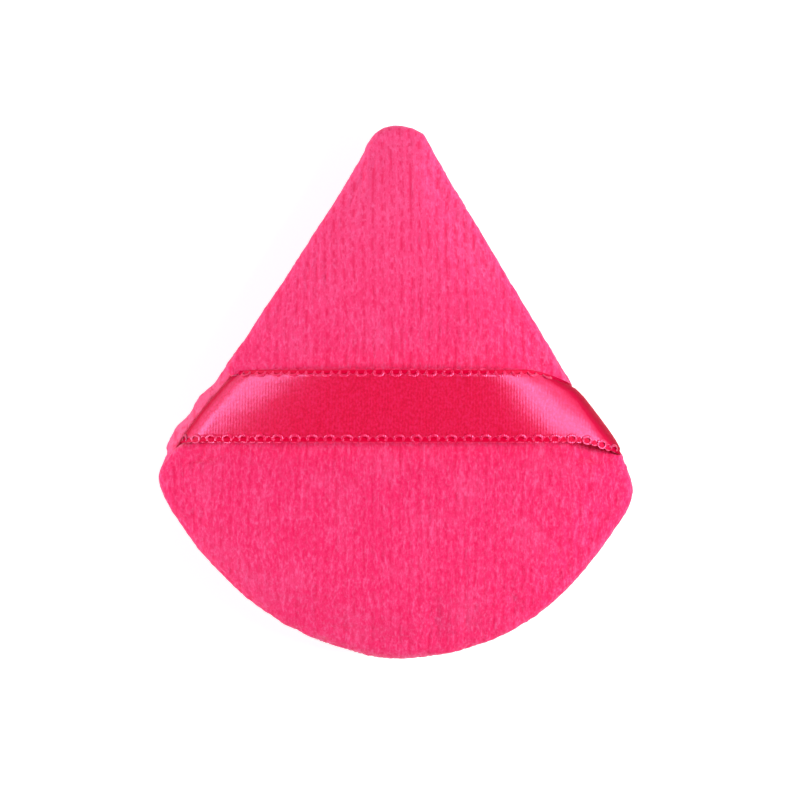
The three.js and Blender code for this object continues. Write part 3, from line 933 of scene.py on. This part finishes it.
def flat_ring(path, up, width, thickness, sides=8):
    """Rings of a flat yarn round a closed path."""
    along = np.roll(path, -1, axis=0) - np.roll(path, 1, axis=0)
    side = np.cross(along, up)
    side /= np.linalg.norm(side, axis=1, keepdims=True)
    angle = np.linspace(0, 2 * np.pi, sides, endpoint=False)
    wide = width / 2 * np.cos(angle)[None, :, None] * side[:, None]
    return path[:, None] + wide + thickness / 2 * np.sin(angle)[None, :, None] * up[:, None]


def join_tubes(name, tubes, material, closed=False):
    """One piece from rings round open paths, with a cap at each end, or round closed ones."""
    verts, faces = [], []
    for rings in tubes:
        base = len(verts)
        count, sides = rings.shape[:2]
        verts += (rings.reshape(-1, 3) * MM).tolist()
        for i in range(count if closed else count - 1):
            here, ahead = base + i * sides, base + (i + 1) % count * sides
            for j in range(sides):
                k = (j + 1) % sides
                faces.append((here + j, here + k, ahead + k, ahead + j))
        if not closed:
            faces.append(tuple(base + j for j in range(sides))[::-1])
            faces.append(tuple(base + (count - 1) * sides + j for j in range(sides)))
    mesh = bpy.data.meshes.new(name)
    mesh.from_pydata(verts, [], faces)
    mesh.polygons.foreach_set("use_smooth", np.ones(len(mesh.polygons), dtype=bool))
    mesh.update()
    face_out(mesh)
    return add_piece(name, mesh, material)


def picot_edge(name, row, sign):
    """Flat loops of yarn along one edge of the satin, through the selvedge."""
    line, out, up = ribbon_middle[row], sign * ribbon_across[row], ribbon_up[row]
    at = np.concatenate([[0], np.cumsum(np.linalg.norm(np.diff(line, axis=0), axis=1))])

    def sample(values, where):
        return np.array([np.interp(where, at, values[:, i]) for i in range(3)])

    def spot(where, away, lift):
        return sample(line, where) + sample(out, where) * away + sample(up, where) * lift

    rings, turned = [], []
    count = int((at[-1] - 2 * PICOT_START) / PICOT_PITCH)
    start = (at[-1] - count * PICOT_PITCH) / 2
    turn = np.linspace(0, 2 * np.pi, PICOT_POINTS, endpoint=False)
    for k in range(count):
        middle = start + (k + 0.5) * PICOT_PITCH
        middle += PICOT_DRIFT * noise.noise(Vector((k * 1.7, 0.3, sign * 5.0)))
        x = sample(line, middle)[0]
        pressed = max(PICOT_FULL[sign][0] - x, x - PICOT_FULL[sign][1], 0)
        if pressed > PICOT_FADE:
            continue
        uneven = PICOT_UNEVEN * noise.noise(Vector((k * 0.9, 2.3, sign * 3.0)))
        free = (1 - PICOT_SHRINK * pressed) * (1 + uneven)
        large = k % 2 == 0
        wide, tall = PICOT_LARGE if large else PICOT_SMALL
        level, dive = PICOT_LARGE_LIFT if large else PICOT_SMALL_LIFT
        path, ups = [], []
        for t in turn:
            where = middle + wide * math.cos(t)
            away = free * (PICOT_OUT + tall * math.sin(t))
            path.append(spot(where, away, level - dive * math.sin(t)))
            ups.append(sample(up, where))
        rings.append(flat_ring(np.array(path), np.array(ups), *PICOT_YARN))
        # How far each loop is turned down, for its painted shade.
        turned.append(tilt_share(sample(up, middle)[2], *PICOT_TURNED))
    piece = join_tubes(name, rings, picot_yarn, closed=True)
    set_values(piece.data, turned=np.repeat(turned, rings[0].shape[0] * rings[0].shape[1]))
    return piece


picot_lower = picot_edge("picot_edge_lower", 0, -1)
picot_upper = picot_edge("picot_edge_upper", -1, 1)


# Sponge and threads
CORE_STATIONS = 180
CORE_ROWS = 24
CORE_MIDDLE = 0.96  # share of the way to its middle at which the rows end
PLY_APART = 0.22  # from the thread's middle to each ply's, and a ply's radius, as shares of the thread
PLY_RADIUS = 0.27
PLY_TURN = 1.6  # length of one turn of the plies
CLOSING_SINK = 0.2  # how much deeper the closing thread lies than in the CAD part
SEAM_STATIONS = 1400
CLOSING_STATIONS = 2400


def sponge_core():
    """Soft pad that fills the room between the panels' insides."""
    points, normals, _ = stations(CORE_STATIONS)
    gap = CLOTH + GAP
    upper = math.radians(90 + CROWN_SLOPE)
    start_inset = STITCH_INSET + FOLD_RADIUS * math.cos(upper)
    start_z = FOLD_HEIGHT + FOLD_RADIUS * math.sin(upper) - GAP
    rim = inward(points, normals, np.full(len(points), RAW_EDGE + GAP), 0)
    start = inward(points, normals, np.full(len(points), start_inset), 0)
    rim_share = 1 - np.linalg.norm(rim - CENTRE, axis=1) / np.linalg.norm(start - CENTRE, axis=1)
    rows = []
    sides = ((1, FRONT_CROWN - gap, math.inf), (-1, BACK_CROWN + REST_FLAT - gap, BACK_CROWN - gap))
    for sign, crown, flat in sides:
        half = []
        for share in np.linspace(CORE_MIDDLE, 0, CORE_ROWS):
            place = rim + (CENTRE - rim) * share
            z = np.minimum(crown_height(start_z, crown, rim_share + (1 - rim_share) * share), flat)
            half.append(np.column_stack([place, SEAM_Z + sign * z]))
        rows += half if sign > 0 else half[::-1]
    top, base = (0, CROWN_Y, SEAM_Z + FRONT_CROWN - gap), (0, CROWN_Y, SEAM_Z - BACK_CROWN + gap)
    mesh = ring_mesh("sponge_core", rows, top, base)
    face_out(mesh)
    return add_piece("sponge_core", mesh, sponge)


def two_ply(name, line):
    """Thread of two plies twisted together along a line of points."""
    line = np.asarray(line)
    along = np.gradient(line, axis=0)
    along /= np.linalg.norm(along, axis=1, keepdims=True)
    side = np.cross(along, (0.0, 0.0, 1.0))
    side /= np.linalg.norm(side, axis=1, keepdims=True)
    other = np.cross(along, side)
    at = np.concatenate([[0], np.cumsum(np.linalg.norm(np.diff(line, axis=0), axis=1))])
    turn = 2 * np.pi * at / PLY_TURN
    tubes = []
    for phase in (0, np.pi):
        twist = np.cos(turn + phase)[:, None] * side + np.sin(turn + phase)[:, None] * other
        tubes.append(tube(line + twist * THREAD * PLY_APART, THREAD * PLY_RADIUS))
    return join_tubes(name, tubes, seam_yarn)


def seam_thread(name, front):
    """One thread of the lockstitch, from one end of the turning gap round the tip to the other."""
    points, normals, at = stations(SEAM_STATIONS)
    reach = edge_reach(points, front)
    place = inward(points, normals, STITCH_INSET - reach, 0)
    lift = slot_lift(place[:, 1]) if front else 0
    z = SEAM_Z + (FOLD_HEIGHT + lift if front else -FOLD_HEIGHT) * np.ones(len(points))
    line = np.column_stack([place, z])
    gap = np.abs(at - at[-1] / 2) < TURNING_GAP / 2
    first = np.argmax(gap)
    last = len(gap) - np.argmax(gap[::-1])
    return two_ply(name, np.concatenate([line[last:], line[:first]]))


def closing_stitch():
    """Thread that laces the rolled edges together across the turning gap."""
    apart = ROLL_RADIUS + THREAD / 2 + GAP / 2
    swing = FOLD_HEIGHT - math.sqrt(apart ** 2 - (STITCH_INSET - CLOSING_INSET) ** 2)
    stitches = round(TURNING_GAP / CLOSING_STITCH)
    points, normals, at = stations(CLOSING_STATIONS)
    reach = edge_reach(points, True)
    gap = np.abs(at - at[-1] / 2) < TURNING_GAP / 2
    points, normals, reach = points[gap], normals[gap], reach[gap]
    place = inward(points, normals, CLOSING_INSET + CLOSING_SINK - reach, 0)
    z = SEAM_Z - swing * np.cos(np.pi * np.linspace(0, stitches, len(place)))
    return two_ply("closing_stitch", np.column_stack([place, z]))


core = sponge_core()
closing = closing_stitch()
needle = seam_thread("needle_stitch", True)
bobbin = seam_thread("bobbin_stitch", False)


# Each piece rides on the root and takes the place of the CAD node it stands for, which is hidden; a material
# slot name is listed with each.
for piece, node, slot in (
    (front_velour, "front_cover", "velour_front"),
    (back_velour, "back_cover", "velour_back"),
    (core, "foam_core", "sponge"),
    (ribbon, "finger_ribbon", "satin"),
    (closing, "closing_thread", "closing_yarn"),
    (needle, "needle_thread", "needle_yarn"),
    (bobbin, "bobbin_thread", "bobbin_yarn"),
):
    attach(piece, "root")
    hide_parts(node)
for piece in (picot_lower, picot_upper):
    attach(piece, "root")


# Stage, light and camera, in metres
FLOOR_HALF = 3.0
FLOOR_DROP = 0.00005  # keeps the floor out of the plane of the puff's underside
FLOOR_SEEN = 0.64  # glow that takes the lit floor to white for the camera
FLOOR_MIRRORED = 0.15  # and in reflections
AIM = Vector((0, 0, 0.01))
CAMERA_AWAY = 0.9
CAMERA_PLACE = (0.00064, -0.00116)
FRAME_WIDTH = 0.12  # seen at the seam's height
SENSOR = 36


def floor_material():
    """White floor that stays white to the camera and still takes the puff's shadow."""
    n = Nodes("white_floor")
    n.finish(Base_Color=(0.86, 0.86, 0.86, 1.0), Roughness=0.9, Specular_IOR_Level=0.1)
    path = n.add("ShaderNodeLightPath")
    mirrored = n.math("MAXIMUM", path.outputs["Is Glossy Ray"], path.outputs["Is Transmission Ray"])
    direct = n.math("MULTIPLY", path.outputs["Is Camera Ray"], FLOOR_SEEN)
    glow = n.add("ShaderNodeEmission")
    n.put(glow, "Color", (1.0, 1.0, 1.0, 1.0))
    n.put(glow, "Strength", n.math("MAXIMUM", direct, n.math("MULTIPLY", mirrored, FLOOR_MIRRORED)))
    both = n.add("ShaderNodeAddShader")
    n.put(both, 0, n.shader.outputs[0])
    n.put(both, 1, glow.outputs[0])
    n.put(n.tree.nodes["Material Output"], "Surface", both.outputs[0])
    return n.material


def add_floor():
    mesh = bpy.data.meshes.new("floor")
    work = bmesh.new()
    bmesh.ops.create_grid(work, x_segments=2, y_segments=2, size=FLOOR_HALF)
    work.to_mesh(mesh)
    work.free()
    floor = add_piece("floor", mesh, floor_material())
    floor.location.z = cad_box[0][2] - FLOOR_DROP


def add_area(name, place, size, power):
    lamp = bpy.data.lights.new(name, "AREA")
    lamp.shape = "RECTANGLE"
    lamp.size, lamp.size_y = size
    lamp.energy = power
    obj = bpy.data.objects.new(name, lamp)
    obj.location = place
    obj.rotation_euler = (AIM - Vector(place)).to_track_quat("-Z", "Y").to_euler()
    bpy.context.scene.collection.objects.link(obj)


def add_world():
    """Pale surroundings, dark overhead where the camera is."""
    world = bpy.data.worlds.new("studio")
    bpy.context.scene.world = world
    world.use_nodes = True
    tree = world.node_tree
    background = tree.nodes["Background"]
    where = tree.nodes.new("ShaderNodeTexCoord")
    height = tree.nodes.new("ShaderNodeSeparateXYZ")
    level = tree.nodes.new("ShaderNodeMapRange")
    tree.links.new(where.outputs["Generated"], height.inputs[0])
    tree.links.new(height.outputs["Z"], level.inputs["Value"])
    for socket, number in (("From Min", 0.3), ("From Max", 0.75), ("To Min", 0.95), ("To Max", 0.05)):
        level.inputs[socket].default_value = number
    background.inputs["Color"].default_value = (1.0, 1.0, 1.0, 1.0)
    tree.links.new(level.outputs["Result"], background.inputs["Strength"])


def add_camera():
    """Straight down, as the photograph was taken."""
    data = bpy.data.cameras.new("camera")
    camera = bpy.data.objects.new("camera", data)
    bpy.context.scene.collection.objects.link(camera)
    data.sensor_width = SENSOR
    data.lens = SENSOR * CAMERA_AWAY / FRAME_WIDTH
    camera.location = (*CAMERA_PLACE, CAMERA_AWAY + SEAM_Z * MM)
    bpy.context.scene.camera = camera


add_floor()
add_area("left_strip", (-0.621, 0.0, 0.15), (0.17, 0.34), 3.2)
add_area("right_strip", (0.504, 0.0, 0.394), (0.18, 0.38), 3.85)
add_world()
add_camera()
bpy.context.scene.view_settings.view_transform = "Standard"
